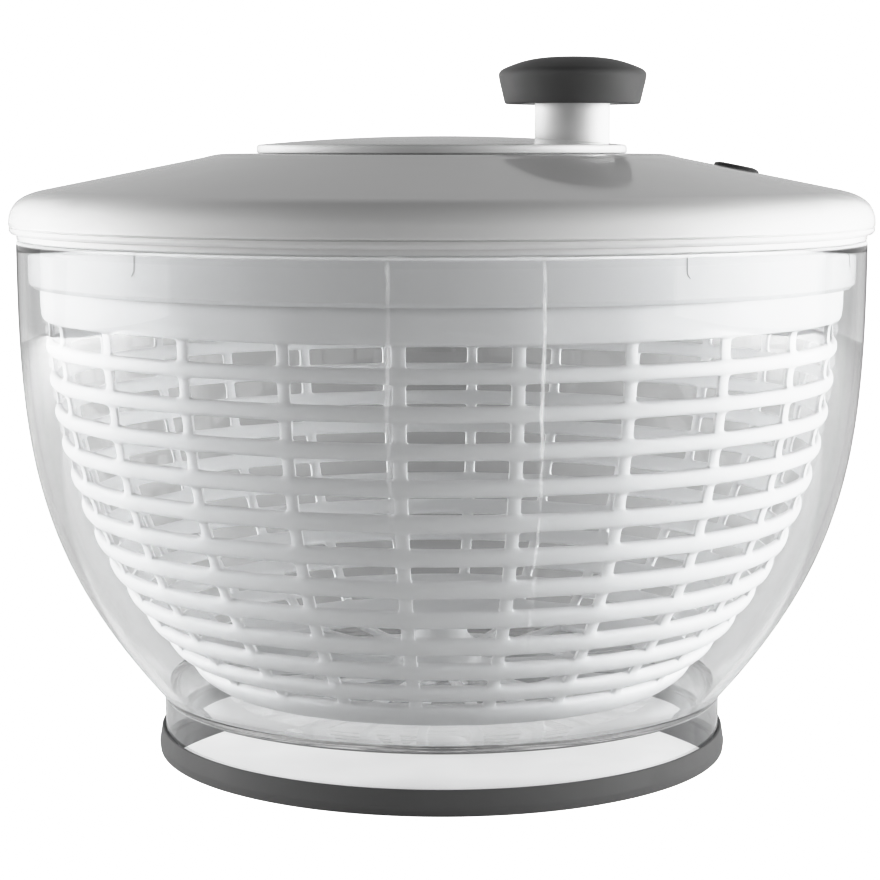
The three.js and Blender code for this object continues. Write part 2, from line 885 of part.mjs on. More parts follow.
const padBottom = driverTop + buttonTravel + gap;
const clipTop = padBottom + padHeight + clipLift;
const guideBottom = clipTop + gap;

// A cap whose top follows the lid's slope, with a stem down its middle.
function brakeButton() {
  const high = coneHeight(buttonReach) + buttonProud;
  const low = high - buttonDepth;
  const roof = coneHeight(buttonReach + buttonRadius) - buttonRoof;
  const cup = turned(
    through([
      [0, roof],
      [buttonRadius - buttonWall, roof],
      [buttonRadius - buttonWall, low],
      [buttonRadius, low],
      [buttonRadius, high + 4],
      [0, high + 4],
    ]),
    smallSides,
  );
  const stem = rod(brakeStem, padBottom + padFloor + gap, roof + 1, smallSides);
  const groove = tube(
    brakeStem - stemGroove,
    brakeStem + 2,
    clipTop - clipHeight - 0.1,
    clipTop + 0.1,
    smallSides,
  );
  const above = new THREE.BoxGeometry(40, 40, 20).translate(0, 0, 10);
  above.rotateY(Math.atan(lidSlope)).translate(0, 0, high);
  const made = cut(join(solid(cup), solid(stem)), solid(groove), solid(above));
  return geometryOf(made).translate(buttonReach, 0, 0);
}

function brakeClip() {
  const inner = brakeStem - stemGroove + gap;
  const ring = tube(inner, brakeStem + clipRim, clipTop - clipHeight, clipTop, smallSides);
  return ring.translate(buttonReach, 0, 0);
}

function brakePad() {
  const high = padBottom + padHeight;
  const floor = padBottom + padFloor;
  return turned(
    through([
      [0, padBottom],
      [padRadius - 0.6, padBottom],
      [padRadius, padBottom + 0.6],
      [padRadius, high],
      [brakeStem + gap, high],
      [brakeStem + gap, floor],
      [0, floor],
    ]),
    smallSides,
  ).translate(buttonReach, 0, 0);
}

class Helix extends THREE.Curve {
  constructor(radius, turns, low, high) {
    super();
    Object.assign(this, { radius, turns, low, high });
  }
  getPoint(t, target = new THREE.Vector3()) {
    const angle = 2 * Math.PI * this.turns * t;
    return target.set(
      this.radius * Math.cos(angle),
      this.radius * Math.sin(angle),
      this.low + (this.high - this.low) * t,
    );
  }
}

function brakeSpring() {
  const low = guideBottom + guideFloor + gap + springWire;
  const high = coneHeight(buttonReach + buttonRadius) - buttonRoof - gap - springWire;
  const wire = new THREE.Shape().absarc(0, 0, springWire, 0, 2 * Math.PI, false);
  return new THREE.ExtrudeGeometry(wire, {
    extrudePath: new Helix(springRadius, springTurns, low, high),
    steps: springTurns * 9,
    curveSegments: 5,
    bevelEnabled: false,
  }).translate(buttonReach, 0, 0);
}

// ---- Materials ----

const plastic = (color, roughness) => new THREE.MeshStandardMaterial({ color, roughness, metalness: 0 });
const metal = (color, roughness) => new THREE.MeshStandardMaterial({ color, roughness, metalness: 1 });
const clearPlastic = new THREE.MeshStandardMaterial({
  color: 0xf2f5f6,
  roughness: 0.05,
  metalness: 0,
  transparent: true,
  opacity: 0.3,
});
const whitePlastic = plastic(0xeeeeec, 0.3);
const basketPlastic = plastic(0xf2f2f0, 0.45);
const darkGrip = plastic(0x3f4144, 0.6);
const ringRubber = plastic(0x58595b, 0.7);
const buttonPlastic = plastic(0x2b2c2e, 0.5);
const acetal = plastic(0xe2e0d8, 0.4);
const padRubber = plastic(0x333333, 0.9);
const steel = metal(0xb9bbbe, 0.35);

// ---- Assembly ----

const spinner = new THREE.Group();

function add(parent, name, geometry, material) {
  const mesh = new THREE.Mesh(geometry, material);
  mesh.name = name;
  parent.add(mesh);
  return mesh;
}

function group(parent, x = 0, y = 0, turn = 0) {
  const made = new THREE.Group();
  made.position.set(x, y, 0);
  made.rotation.z = turn;
  parent.add(made);
  return made;
}

const stand = group(spinner);
add(stand, "bowl", bowl(), clearPlastic);
add(stand, "base_ring", baseRing(), ringRubber);
add(stand, "pivot_pin", pivotPin(), steel);
add(spinner, "pivot_cap", pivotCap(), acetal);
add(spinner, "basket", basket(), basketPlastic);

const lid = group(spinner);
add(lid, "lid_cover", lidCover(), whitePlastic);
add(lid, "gear_plate", gearPlate(), whitePlastic);
add(lid, "shaft_bushing", shaftBushing(), acetal);
for (let i = 0; i < plateScrewCount; i++) {
  const [x, y] = onCircle(plateScrewCircle, i, plateScrewCount, Math.PI / 4);
  const low = flangeTop - plateThickness - gap - screwHeadHeight;
  const high = lidTop - lidWall - 1;
  add(group(lid, x, y), `gear_plate_screw_${i + 1}`, screw(low, high), steel);
}

for (let i = 0; i < idlerCount; i++) {
  const [x, y] = onCircle(idlerOrbit, i, idlerCount);
  const turn = (i * 2 * Math.PI) / idlerCount;
  // A gap faces the sun's tooth, and a tooth faces the ring's gap.
  add(group(lid, x, y, turn), `idler_gear_${i + 1}`, idlerGear(), acetal);
  add(group(lid, x, y), `idler_pin_${i + 1}`, idlerPin(), steel);
}

const driver = group(lid);
add(driver, "sun_pinion", sunPinion(), acetal);
add(driver, "driver_plate", driverPlate(), whitePlastic);
add(driver, "driver_washer", driverWasher(), steel);
add(driver, "driver_screw", driverScrew(), steel);

const crank = group(lid);
add(crank, "crank_disc", crankDisc(), whitePlastic);
add(crank, "ring_gear", ringGear(), acetal);
for (let i = 0; i < crankScrewCount; i++) {
  const [x, y] = onCircle(crankScrewCircle, i, crankScrewCount, Math.PI / 3);
  const low = gearBottom - gap - screwHeadHeight;
  add(group(crank, x, y), `crank_screw_${i + 1}`, screw(low, crankScrewTop), steel);
}

const knob = group(crank, postReach);
add(knob, "knob_grip", knobGrip(), darkGrip);
add(knob, "knob_core", knobCore(), buttonPlastic);
add(knob, "knob_washer", knobWasher(), steel);
add(knob, "knob_screw", knobScrew(), steel);

add(lid, "brake_button", brakeButton(), buttonPlastic);
add(lid, "brake_clip", brakeClip(), steel);
add(lid, "brake_pad", brakePad(), padRubber);
add(lid, "brake_spring", brakeSpring(), steel);

export default spinner;
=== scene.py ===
# A salad spinner: clear bowl on a rubber ring, slotted basket, geared lid with a turning knob
# and a push brake. Sizes inside the profiles are in millimetres, objects are in metres.
import math

import bmesh
import bpy
from mathutils import Matrix, Vector
from mathutils.geometry import interpolate_bezier


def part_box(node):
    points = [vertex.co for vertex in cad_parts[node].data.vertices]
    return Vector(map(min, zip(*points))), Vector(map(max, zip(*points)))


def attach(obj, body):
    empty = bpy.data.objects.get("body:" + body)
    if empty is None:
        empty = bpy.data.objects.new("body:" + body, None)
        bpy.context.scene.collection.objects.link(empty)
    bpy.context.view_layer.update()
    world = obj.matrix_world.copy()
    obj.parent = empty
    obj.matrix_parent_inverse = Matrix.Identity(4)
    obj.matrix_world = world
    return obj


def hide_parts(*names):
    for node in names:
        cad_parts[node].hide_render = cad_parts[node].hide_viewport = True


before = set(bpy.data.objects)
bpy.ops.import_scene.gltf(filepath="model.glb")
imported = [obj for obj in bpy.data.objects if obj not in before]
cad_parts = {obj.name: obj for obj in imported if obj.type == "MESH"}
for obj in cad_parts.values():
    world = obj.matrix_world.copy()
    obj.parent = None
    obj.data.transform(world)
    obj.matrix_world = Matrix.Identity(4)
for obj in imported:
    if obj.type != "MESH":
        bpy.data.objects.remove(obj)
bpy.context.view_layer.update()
MM = 0.001


# ---- Levels taken from the frame, in millimetres ----


def low(node, axis=2):
    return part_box(node)[0][axis] / MM


def high(node, axis=2):
    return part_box(node)[1][axis] / MM


RIM = high("bowl", 0)
RIM_TOP = high("bowl")
FOOT_LOW = low("bowl")
RING = high("base_ring", 0)
RING_TOP = high("base_ring")
LID = high("lid_cover", 0)
LID_TOP = high("lid_cover")
SKIRT_LOW = low("lid_cover")
CRANK = high("ring_gear", 0) + 3.1
BASKET_LOW = low("basket")
BASKET_TOP = high("basket")
POST_X = (low("knob_grip", 0) + high("knob_grip", 0)) / 2
KNOB_LOW = low("knob_grip")
KNOB_TOP = high("knob_grip")
KNOB = high("knob_grip", 0) - POST_X
BUTTON_X = (low("brake_button", 0) + high("brake_button", 0)) / 2
BUTTON = high("brake_button", 0) - BUTTON_X
GEAR_TOP = high("sun_pinion")

WALL = 2.5  # bowl's wall
FOOT = RING - 1.9
FLOOR_TOP = 20.7  # bowl's floor, inside
SEAT = RIM_TOP + 0.3  # lid's face over the bowl's rim
PLATE_SCREWS = [math.radians(45 + 90 * k) for k in range(4)]
PLATE_SCREW_REACH = 63.7
DIAL_SCREWS = [math.radians(60 + 120 * k) for k in range(3)]
DIAL_SCREW_REACH = 45.3
CAMERA_AWAY = 0.734  # metres in front of the axis


# ---- Outlines ----


def rounded(corners, steps=5):
    """Points of an outline whose corners (r, z, radius) are rounded."""
    made = []
    count = len(corners)
    for i, (r, z, radius) in enumerate(corners):
        here = Vector((r, z))
        before = Vector(corners[i - 1][:2])
        after = Vector(corners[(i + 1) % count][:2])
        if radius <= 0:
            made.append((r, z))
            continue
        a, b = (before - here), (after - here)
        angle = a.angle(b)
        back = radius / math.tan(angle / 2)
        back = min(back, a.length * 0.49, b.length * 0.49)
        start, end = here + a.normalized() * back, here + b.normalized() * back
        for k in range(steps + 1):
            t = k / steps
            p = start * (1 - t) ** 2 + here * 2 * t * (1 - t) + end * t * t
            made.append((p.x, p.y))
    return made


def bulge(start, end, first, last, steps):
    """Bezier points between two corners; the handles are shares of the way across and up."""
    at = lambda h: (
        start[0] + h[0] * (end[0] - start[0]),
        start[1] + h[1] * (end[1] - start[1]),
        0,
    )
    points = interpolate_bezier((*start, 0), at(first), at(last), (*end, 0), steps)
    return [(p.x, p.y) for p in points]


def beside(points, distance):
    """The points moved sideways, towards the inside of a curve that rises outwards."""
    moved = []
    for i, (r, z) in enumerate(points):
        a = Vector(points[max(i - 1, 0)])
        b = Vector(points[min(i + 1, len(points) - 1)])
        t = (b - a).normalized()
        moved.append((r - t.y * distance, z + t.x * distance))
    return moved


# ---- Meshes ----


def piece(name, mesh_maker, body, slot, material, *nodes, smooth=35):
    """A closed mesh as a piece that rides on a body and stands for CAD nodes."""
    made = mesh_maker()
    bmesh.ops.recalc_face_normals(made, faces=made.faces)
    mesh = bpy.data.meshes.new(name)
    made.to_mesh(mesh)
    made.free()
    for face in mesh.polygons:
        face.use_smooth = True
    mesh.set_sharp_from_angle(angle=math.radians(smooth))
    mesh.materials.append(material)
    thing = bpy.data.objects.new(name, mesh)
    bpy.context.scene.collection.objects.link(thing)
    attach(thing, body)
    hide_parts(*nodes)
    return thing


def lathe(points, sides=160, made=None, x=0.0, y=0.0):
    """An outline of (r, z) points turned about a vertical axis at x, y, as a closed mesh."""
    made = made or bmesh.new()
    clean = []
    for r, z in points:
        if not clean or math.hypot(r - clean[-1][0], z - clean[-1][1]) > 1e-4:
            clean.append((max(r, 0.0), z))
    if math.hypot(clean[0][0] - clean[-1][0], clean[0][1] - clean[-1][1]) < 1e-4:
        clean.pop()
    rings = []
    for r, z in clean:
        if r < 1e-4:
            rings.append([made.verts.new((x * MM, y * MM, z * MM))])
            continue
        ring = []
        for k in range(sides):
            a = 2 * math.pi * k / sides
            ring.append(
                made.verts.new(
                    ((x + r * math.cos(a)) * MM, (y + r * math.sin(a)) * MM, z * MM)
                )
            )
        rings.append(ring)
    count = len(rings)
    for i in range(count):
        a, b = rings[i], rings[(i + 1) % count]
        if len(a) == 1 and len(b) == 1:
            continue
        for k in range(sides):
            n = (k + 1) % sides
            if len(a) == 1:
                made.faces.new((a[0], b[n], b[k]))
            elif len(b) == 1:
                made.faces.new((a[k], a[n], b[0]))
            else:
                made.faces.new((a[k], a[n], b[n], b[k]))
    return made


def column(radius, bottom, top, sides, made, turn, reach):
    """A round column that stands at a reach from the axis, turned about it."""
    outline = [(0, bottom), (radius, bottom), (radius, top), (0, top)]
    return lathe(outline, sides, made, reach * math.cos(turn), reach * math.sin(turn))


def boolean(thing, tool_mesh, how="DIFFERENCE"):
    """Cuts or joins a closed mesh into a piece, and applies it."""
    bmesh.ops.recalc_face_normals(tool_mesh, faces=tool_mesh.faces)
    mesh = bpy.data.meshes.new("tool")
    tool_mesh.to_mesh(mesh)
    tool_mesh.free()
    tool = bpy.data.objects.new("tool", mesh)
    bpy.context.scene.collection.objects.link(tool)
    change = thing.modifiers.new("cut", "BOOLEAN")
    change.operation = how
    change.solver = "EXACT"
    change.object = tool
    bpy.context.view_layer.update()
    graph = bpy.context.evaluated_depsgraph_get()
    result = bpy.data.meshes.new_from_object(thing.evaluated_get(graph))
    thing.modifiers.clear()
    old = thing.data
    thing.data = result
    bpy.data.meshes.remove(old)
    bpy.data.objects.remove(tool)
    bpy.data.meshes.remove(mesh)
    for face in thing.data.polygons:
        face.use_smooth = True
    thing.data.set_sharp_from_angle(angle=math.radians(35))


def around(count, phase=0.0):
    """Angles of copies about the axis, in radians, from the front."""
    return [math.radians(phase - 90 + 360 * i / count) for i in range(count)]


def box_mesh(wide, deep, bottom, top, turn, reach, made=None):
    """A block that stands at a reach from the axis, turned about it; sizes in mm."""
    made = made or bmesh.new()
    place = Matrix.Rotation(turn, 4, "Z") @ Matrix.Translation(
        (reach * MM, 0, (bottom + top) / 2 * MM)
    )
    size = Matrix.Diagonal((deep * MM, wide * MM, (top - bottom) * MM, 1))
    bmesh.ops.create_cube(made, size=1.0, matrix=place @ size)
    return made


# ---- Materials ----


class Nodes:
    """A material whose nodes are added in order."""

    def __init__(self, name):
        self.material = bpy.data.materials.new(name)
        self.material.use_nodes = True
        self.tree = self.material.node_tree
        self.tree.nodes.clear()
        self.out = self.add("ShaderNodeOutputMaterial")
        self.place = self.add("ShaderNodeTexCoord").outputs["Object"]

    def add(self, kind, inputs=None, **facts):
        node = self.tree.nodes.new(kind)
        for key, value in facts.items():
            setattr(node, key, value)
        for key, value in (inputs or {}).items():
            self.put(node.inputs[key], value)
        return node

    def put(self, socket, value):
        if isinstance(value, bpy.types.NodeSocket):
            self.tree.links.new(value, socket)
        else:
            socket.default_value = value

    def noise(self, scale, detail=3.0, stretch=(1, 1, 1), rough=0.5):
        mapping = self.add("ShaderNodeMapping", {"Vector": self.place, "Scale": stretch})
        return self.add(
            "ShaderNodeTexNoise",
            {
                "Vector": mapping.outputs[0],
                "Scale": scale,
                "Detail": detail,
                "Roughness": rough,
            },
        ).outputs["Fac"]

    def range(self, value, a, b, low=0.3, high=0.7):
        return self.add(
            "ShaderNodeMapRange",
            {"Value": value, "From Min": low, "From Max": high, "To Min": a, "To Max": b},
        ).outputs["Result"]

    def tone(self, value, a, b, low=0.3, high=0.7):
        """Two greys mixed by a value."""
        ramp = self.add("ShaderNodeValToRGB", {"Fac": value})
        ramp.color_ramp.elements[0].position = low
        ramp.color_ramp.elements[1].position = high
        ramp.color_ramp.elements[0].color = (*a, 1)
        ramp.color_ramp.elements[1].color = (*b, 1)
        return ramp.outputs["Color"]

    def bump(self, height, strength, distance, normal=None):
        node = self.add(
            "ShaderNodeBump",
            {"Height": height, "Strength": strength, "Distance": distance},
        )
        if normal is not None:
            self.put(node.inputs["Normal"], normal)
        return node.outputs["Normal"]

    def finish(self, shader):
        self.tree.links.new(shader, self.out.inputs["Surface"])
        return self.material


def grey(value, warm=0.0):
    return (value * (1 + warm), value, value * (1 - warm))


def moulded(name, tone, rough, spread=0.06, bumpy=0.00002, subsurface=0.0, fine=900):
    """Moulded plastic: a little uneven in tone and gloss, with a fine surface."""
    n = Nodes(name)
    cloud = n.noise(14, 4)
    colour = n.tone(cloud, grey(tone * 0.975), grey(min(tone * 1.015, 0.97)))
    roughness = n.range(n.noise(55, 5, rough=0.6), rough - spread / 2, rough + spread)
    normal = n.bump(n.noise(fine, 2), 0.25, bumpy)
    normal = n.bump(n.noise(22, 2), 0.08, 0.0004, normal)
    p = n.add(
        "ShaderNodeBsdfPrincipled",
        {"Base Color": colour, "Roughness": roughness, "Normal": normal, "IOR": 1.49},
    )
    if subsurface:
        p.inputs["Subsurface Weight"].default_value = subsurface
        p.inputs["Subsurface Radius"].default_value = (1.0, 1.0, 1.0)
        p.inputs["Subsurface Scale"].default_value = 0.002
    return n.finish(p.outputs[0])


def streak(n, angle, width, bottom, top, strength):
    """A thin upright pale streak painted on the clear plastic as white haze, at an angle from the
    front.
    """
    spot = n.add("ShaderNodeSeparateXYZ", {0: n.place})
    back = n.add("ShaderNodeMath", {0: spot.outputs[1], 1: -1.0}, operation="MULTIPLY")
    turn = n.add(
        "ShaderNodeMath", {0: spot.outputs[0], 1: back.outputs[0]}, operation="ARCTAN2"
    )
    wander = n.range(n.noise(30, 3, (0.05, 0.05, 1)), -0.3, 0.3)
    bend = n.add("ShaderNodeMath", {0: wander, 1: math.radians(1.2)}, operation="MULTIPLY")
    line = n.add("ShaderNodeMath", {0: turn.outputs[0], 1: bend.outputs[0]}, operation="ADD")
    away = n.add(
        "ShaderNodeMath", {0: line.outputs[0], 1: math.radians(angle)}, operation="SUBTRACT"
    )
    away = n.add("ShaderNodeMath", {0: away.outputs[0]}, operation="ABSOLUTE").outputs[0]
    mask = n.range(away, strength, 0.0, 0.0, math.radians(width))
    above = n.range(spot.outputs[2], 0.0, 1.0, bottom * MM, (top - 15) * MM)
    below = n.range(spot.outputs[2], 1.0, 0.0, (top - 3) * MM, top * MM)
    patchy = n.range(n.noise(60, 4, (0.2, 0.2, 1)), 0.15, 1.0, 0.35, 0.6)
    for part in (above, below, patchy):
        mask = n.add("ShaderNodeMath", {0: mask, 1: part}, operation="MULTIPLY").outputs[0]
    return mask


def clear_shell():
    """Clear polished plastic, with pale streaks and a whitened rim top painted in as white haze.
    Lamps and soft light pass straight through it.
    """
    n = Nodes("clear_shell")
    smear = n.noise(9, 3, (1, 1, 0.35))
    wave = n.bump(n.noise(16, 1), 0.05, 0.0006)
    roughness = n.range(smear, 0.0, 0.012)
    glass = n.add(
        "ShaderNodeBsdfPrincipled",
        {"Base Color": (0.985, 0.988, 0.99, 1), "Roughness": roughness, "Normal": wave},
    )
    glass.inputs["Transmission Weight"].default_value = 1.0
    glass.inputs["IOR"].default_value = 1.57
    # Painted highlight: the streak at 11.9 degrees stands in for a reflected strip of light; a
    # fainter pale streak is painted at -6.2 degrees.
    painted_haze = streak(n, 11.9, 0.26, 45, 156, 0.5)
    more = streak(n, -6.2, 0.4, 80, 157, 0.3)
    painted_haze = n.add("ShaderNodeMath", {0: painted_haze, 1: more}, operation="MAXIMUM").outputs[0]
    level = n.add("ShaderNodeSeparateXYZ", {0: n.place}).outputs[2]
    # Painted light: the rim's top is whitened with haze to lighten the dark shade seen in it under
    # the lid.
    edge = n.range(level, 0.0, 0.3, (RIM_TOP - 1.3) * MM, (RIM_TOP - 0.7) * MM)
    painted_haze = n.add("ShaderNodeMath", {0: painted_haze, 1: edge}, operation="MAXIMUM").outputs[0]
    front = n.add("ShaderNodeBsdfDiffuse", {"Color": (0.95, 0.95, 0.95, 1)})
    through = n.add("ShaderNodeBsdfTranslucent", {"Color": (0.6, 0.6, 0.6, 1)})
    haze = n.add("ShaderNodeAddShader", {0: front.outputs[0], 1: through.outputs[0]})
    glass_or_haze = n.add("ShaderNodeMixShader", {0: painted_haze, 1: glass.outputs[0], 2: haze.outputs[0]})
    straight = n.add("ShaderNodeBsdfTransparent", {"Color": (0.95, 0.955, 0.96, 1)})
    path = n.add("ShaderNodeLightPath")
    either = n.add(
        "ShaderNodeMath",
        {0: path.outputs["Is Shadow Ray"], 1: path.outputs["Is Diffuse Ray"]},
        operation="MAXIMUM",
    )
    mix = n.add("ShaderNodeMixShader", {0: either.outputs[0]})
    n.tree.links.new(glass_or_haze.outputs[0], mix.inputs[1])
    n.tree.links.new(straight.outputs[0], mix.inputs[2])
    return n.finish(mix.outputs[0])


def metal(name, tone, rough):
    n = Nodes(name)
    colour = n.tone(n.noise(60, 3), grey(tone * 0.9), grey(tone))
    lines = n.noise(600, 2, (1, 1, 14))
    p = n.add(
        "ShaderNodeBsdfPrincipled",
        {
            "Base Color": colour,
            "Roughness": n.range(lines, rough * 0.7, rough * 1.3),
            "Normal": n.bump(lines, 0.1, 0.00002),
        },
    )
    p.inputs["Metallic"].default_value = 1.0
    return n.finish(p.outputs[0])


CLEAR = clear_shell()
LID_WHITE = moulded("lid_white", 0.66, 0.07, 0.04, 0.000006)
INNER_WHITE = moulded("inner_white", 0.72, 0.35)
BASKET_WHITE = moulded("basket_white", 0.72, 0.34, 0.08, 0.00002, 0.15)
ACETAL = moulded("gear_acetal", 0.74, 0.38)
GRIP = moulded("knob_grip", 0.06, 0.5, 0.08, 0.00004, fine=1600)
RUBBER = moulded("ring_rubber", 0.075, 0.5, 0.1, 0.00005, fine=1400)
DARK = moulded("dark_plastic", 0.03, 0.4)
PAD = moulded("pad_rubber", 0.03, 0.75, 0.1, 0.00008)
STEEL = metal("steel", 0.62, 0.3)

# ---- Bowl ----

BOWL_CURVE = bulge((FOOT + 0.5, 18.5), (RIM, RIM_TOP), (0.93, 0.32), (1.0, 0.56), 56)


def bowl():
    inner = beside(BOWL_CURVE, WALL)
    inner = [p for p in inner if p[1] > FLOOR_TOP + 1.2]
    under = FLOOR_TOP - 2.6
    boss_top = FLOOR_TOP + 9
    outline = rounded(
        [
            (0, boss_top, 0),
            (6, boss_top, 0.8),
            (8, FLOOR_TOP, 1.5),
            (inner[0][0] - 1.2, FLOOR_TOP, 0),
        ]
    )
    outline += inner[:-1]
    top_in, top_out = inner[-1], BOWL_CURVE[-1]
    outline += [
        (top_in[0], RIM_TOP - 0.7),
        (top_in[0] + 0.25, RIM_TOP - 0.2),
        (top_in[0] + 0.8, RIM_TOP),
        (top_out[0] - 0.8, RIM_TOP),
        (top_out[0] - 0.25, RIM_TOP - 0.2),
        (top_out[0], RIM_TOP - 0.7),
    ]
    outline += BOWL_CURVE[-2:0:-1]
    outline += rounded(
        [
            (FOOT + 0.6, 18.9, 0),
            (FOOT + 0.1, 18.0, 0.3),
            (FOOT, FOOT_LOW, 0.7),
            (FOOT - WALL, FOOT_LOW, 0.7),
            (FOOT - WALL, under, 1.2),
            (0, under, 0),
        ]
    )[1:]
    return lathe(outline, 224)


piece("bowl_shell", bowl, "bowl_unit", "clear_shell", CLEAR, "bowl")


def base_ring():
    inner = RING - 7
    return lathe(
        rounded(
            [
                (inner, 0, 0.9),
                (RING - 0.3, 0, 0.8),
                (RING, RING_TOP * 0.35, 2),
                (RING - 0.8, RING_TOP, 0.5),
                (FOOT + 0.3, RING_TOP, 0.35),
                (FOOT + 0.3, FOOT_LOW - 0.3, 0.2),
                (FOOT - WALL - 0.3, FOOT_LOW - 0.3, 0.2),
                (FOOT - WALL - 0.3, RING_TOP * 0.8, 0.3),
                (inner + 0.8, RING_TOP * 0.8, 0.5),
                (inner, RING_TOP * 0.5, 1.5),
            ]
        ),
        200,
    )


piece("base_ring_rubber", base_ring, "bowl_unit", "ring", RUBBER, "base_ring")

# ---- Basket ----

RIBS = 24
RIB_PHASE = 9.6  # degrees from the front
RIB_OUT, RIB_IN = 4.2, 3.4  # widths outside and inside
ROWS = 12
BASKET = 121.2
BAND_LOW = BASKET_TOP - 17.7
BORE = BASKET - 2.4
BASKET_FLOOR = 72.8
BOTTOM_BAND = 3.5
SLOT_TOP, SLOT_BOTTOM = 5.9, 3.7
RING_PROUD = 1.7  # rings outside the ribs
DEPTH = 3.2  # rings from outside to inside
SOLID, SLOTS, WIDE = 0, 1, 2  # what lies between a row of points and the next


def wall_rows():
    """Rows of (outer point, inner point, kind) up the wall: rounded rings with slots between."""
    curve = bulge(
        (BASKET_FLOOR, BASKET_LOW),
        (BASKET - 0.7, BAND_LOW - 1),
        (0.754, 0.271),
        (0.9625, 0.627),
        300,
    )
    along = [0.0]
    for a, b in zip(curve, curve[1:]):
        along.append(along[-1] + math.dist(a, b))
    total = along[-1]

    def at(s, inset):
        k = next((i for i in range(1, len(along)) if along[i] >= s), len(along) - 1)
        a, b = Vector(curve[k - 1]), Vector(curve[k])
        t = (b - a).normalized()
        p = a + t * (s - along[k - 1])
        return (p.x - t.y * inset, p.y + t.x * inset)

    rows = []
    pitch = (total - BOTTOM_BAND) / ROWS
    below = 0.0
    for row in reversed(range(ROWS)):
        tall = SLOT_TOP + (SLOT_BOTTOM - SLOT_TOP) * row / (ROWS - 1)
        start = total - SLOT_TOP / 2 - 0.4 - row * pitch - tall / 2
        first = row == ROWS - 1
        for share in (0.35, 0.7, 0.92) if first else (0.22, 0.78):
            s = below + (start - below) * share
            lift = 1.0 if first and share < 0.9 else math.sin(math.pi * share) ** 0.55
            rows.append((at(s, RING_PROUD * 0.9 * (1 - lift)), at(s, DEPTH), SOLID))
        rows.append((at(start, RING_PROUD * 0.75), at(start, DEPTH - 0.2), SLOTS))
        rows.append((at(start + tall * 0.14, RING_PROUD), at(start + tall * 0.14, DEPTH), SLOTS))
        rows.append((at(start + tall * 0.86, RING_PROUD), at(start + tall * 0.86, DEPTH), SLOTS))
        below = start + tall
        rows.append((at(below, RING_PROUD * 0.75), at(below, DEPTH - 0.2), SOLID))
    return rows


def basket():
    """One closed sheet from the hub over the spoked floor and up the slotted wall to the rim."""
    under, over = BASKET_LOW, BASKET_LOW + 2.4
    rows = [
        ((0, 36.3), (0, 38.7), SOLID),
        ((4.4, 36.3), (5.6, 38.6), SOLID),
        ((5.2, 35.8), (7.3, 37.8), SOLID),
        ((5.3, 31.2), (8.0, 34.0), SOLID),
        ((5.9, 30.4), (9.0, 32.8), SOLID),
        ((8.4, 30.3), (10.8, 31.9), SOLID),
        ((9.2, 29.6), (11.5, 30.6), SOLID),
        ((9.2, 24.0), (11.7, 27.0), SOLID),
        ((9.7, under), (12.4, over + 0.2), SOLID),
        ((14.9, under), (14.9, over), SOLID),
        ((15.6, under), (15.6, over), WIDE),
        ((17.5, under), (17.5, over), WIDE),
        ((37.4, under), (37.4, over), WIDE),
        ((39.2, under), (39.2, over), SOLID),
        ((41.2, under), (41.2, over), SOLID),
        ((43.2, under), (43.2, over), SLOTS),
        ((45.0, under), (45.0, over), SLOTS),
        ((65.0, under), (65.0, over), SLOTS),
        ((66.8, under), (66.8, over), SOLID),
        ((69.4, under), (68.6, over + 0.2), SOLID),
        ((72.2, under + 0.05), (70.6, over + 0.9), SOLID),
        *wall_rows(),
        ((BASKET - 0.75, BAND_LOW - 1.1), (BORE - 2.2, BAND_LOW + 0.2), SOLID),
        ((BASKET, BAND_LOW + 0.3), (BORE - 0.2, BAND_LOW + 2.6), SOLID),
        ((BASKET, BASKET_TOP - 2.5), (BORE, BASKET_TOP - 2.5), SOLID),
        ((BASKET, BASKET_TOP - 0.6), (BORE, BASKET_TOP - 0.6), SOLID),
        ((BASKET - 0.35, BASKET_TOP), (BORE + 0.35, BASKET_TOP), SOLID),
    ]
    sector = 2 * math.pi / RIBS
    shares = (0.08, 0.5, 0.92)
    per = 3 + len(shares)
    columns = RIBS * per

    def angles(r, width):
        half = min(width / 2 / r, sector * 0.3)
        for start in around(RIBS, RIB_PHASE):
            yield from (start - half, start, start + half)
            for share in shares:
                yield start + half + (sector - 2 * half) * share

    made = bmesh.new()

    def ring(point, width):
        r, z = point
        if r == 0:
            return [made.verts.new((0, 0, z * MM))] * columns
        return [
            made.verts.new((r * math.cos(a) * MM, r * math.sin(a) * MM, z * MM))
            for a in angles(r, width)
        ]

    outer, inner = [], []
    for out, inn, _ in rows:
        on_wall = out[0] > BASKET_FLOOR
        outer.append(ring(out, RIB_OUT if on_wall else 3.2))
        inner.append(ring(inn, RIB_IN if on_wall else 2.8))

    def filled(strip, column):
        if not 0 <= strip < len(rows) - 1:
            return False
        kind = rows[strip][2]
        in_slot = column % per >= 2
        if kind == SLOTS:
            return not in_slot
        if kind == WIDE:
            return not (in_slot or (column // per) % 2)
        return True

    def face(*corners):
        unique = list(dict.fromkeys(corners))
        if len(unique) > 2:
            made.faces.new(unique)

    for j in range(len(rows)):
        for k in range(columns):
            n = (k + 1) % columns
            here = filled(j, k)
            if here:
                face(outer[j][k], outer[j][n], outer[j + 1][n], outer[j + 1][k])
                face(inner[j][k], inner[j + 1][k], inner[j + 1][n], inner[j][n])
            if here != filled(j - 1, k) and rows[j][0][0] > 0:
                face(outer[j][k], outer[j][n], inner[j][n], inner[j][k])
            if j < len(rows) - 1 and here != filled(j, k - 1):
                face(outer[j][k], outer[j + 1][k], inner[j + 1][k], inner[j][k])
    loose = [v for v in made.verts if not v.link_faces]
    bmesh.ops.delete(made, geom=loose, context="VERTS")
    return made


